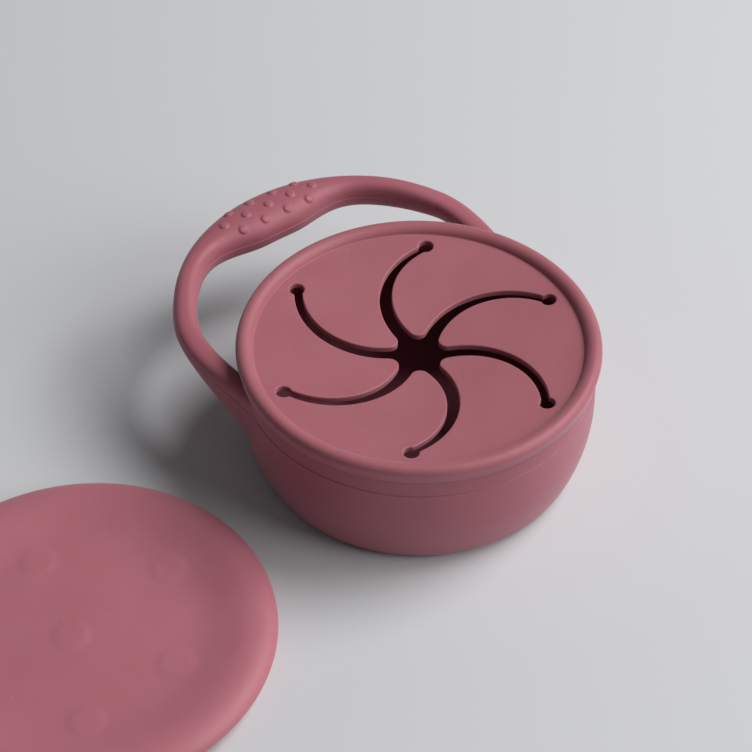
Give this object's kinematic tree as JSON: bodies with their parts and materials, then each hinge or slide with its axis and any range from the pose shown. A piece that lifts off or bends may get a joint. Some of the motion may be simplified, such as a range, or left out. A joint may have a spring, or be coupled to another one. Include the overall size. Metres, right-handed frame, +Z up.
{
  "type": "toddler snack container",
  "caption": "Soft silicone snack pot for toddlers: a round pot with a loop handle, a press-on lid of curved flaps that a small hand pushes through, and a loose press-on cover.",
  "frame": {"origin": "centre of the pot's flat base", "axes": "+Z up along the pot's axis, +X towards the middle of the handle's grip, +Y towards the loose cover that lies beside the pot"},
  "size_m": [0.1446, 0.2248, 0.0417],
  "materials": {
    "pot": "matte silicone, dusty rose",
    "lid": "matte silicone, dusty rose",
    "flaps": "matte silicone, dusty rose",
    "cover": "matte silicone, dusty rose"
  },
  "bodies": {
    "pot": {"pot_bowl": "pot", "handle": "pot"},
    "lid": {"lid_rim": "lid", "lid_sheet": "lid"},
    "flap_1": {"flap_1": "flaps"},
    "flap_2": {"flap_2": "flaps"},
    "flap_3": {"flap_3": "flaps"},
    "flap_4": {"flap_4": "flaps"},
    "flap_5": {"flap_5": "flaps"},
    "flap_6": {"flap_6": "flaps"},
    "cover": {"cover_rim": "cover", "cover_panel": "cover"}
  },
  "joints": [
    {"name": "lid_lift", "type": "slide", "parent": "pot", "child": "lid", "axis": [0, 0, 1], "range_m": [0, 0.045]},
    {"name": "flap_1_bend", "type": "hinge", "parent": "lid", "child": "flap_1", "pos_m": [0.03559, 0.00008, 0.03741], "axis": [-0.2796, -0.9601, 0], "range_deg": [-40, 65], "stiffness_Nm_per_rad": 0.03},
    {"name": "flap_2_bend", "type": "hinge", "parent": "lid", "child": "flap_2", "pos_m": [0.01773, 0.03086, 0.03741], "axis": [0.6917, -0.7222, 0], "range_deg": [-40, 65], "stiffness_Nm_per_rad": 0.03},
    {"name": "flap_3_bend", "type": "hinge", "parent": "lid", "child": "flap_3", "pos_m": [-0.01786, 0.03078, 0.03741], "axis": [0.9713, 0.2379, 0], "range_deg": [-40, 65], "stiffness_Nm_per_rad": 0.03},
    {"name": "flap_4_bend", "type": "hinge", "parent": "lid", "child": "flap_4", "pos_m": [-0.03559, -0.00008, 0.03741], "axis": [0.2796, 0.9601, 0], "range_deg": [-40, 65], "stiffness_Nm_per_rad": 0.03},
    {"name": "flap_5_bend", "type": "hinge", "parent": "lid", "child": "flap_5", "pos_m": [-0.01773, -0.03086, 0.03741], "axis": [-0.6917, 0.7222, 0], "range_deg": [-40, 65], "stiffness_Nm_per_rad": 0.03},
    {"name": "flap_6_bend", "type": "hinge", "parent": "lid", "child": "flap_6", "pos_m": [0.01786, -0.03078, 0.03741], "axis": [-0.9713, -0.2379, 0], "range_deg": [-40, 65], "stiffness_Nm_per_rad": 0.03},
    {"name": "cover_lift", "type": "slide", "parent": "pot", "child": "cover", "axis": [0, 0, 1], "range_m": [0, 0.06]}
  ]
}
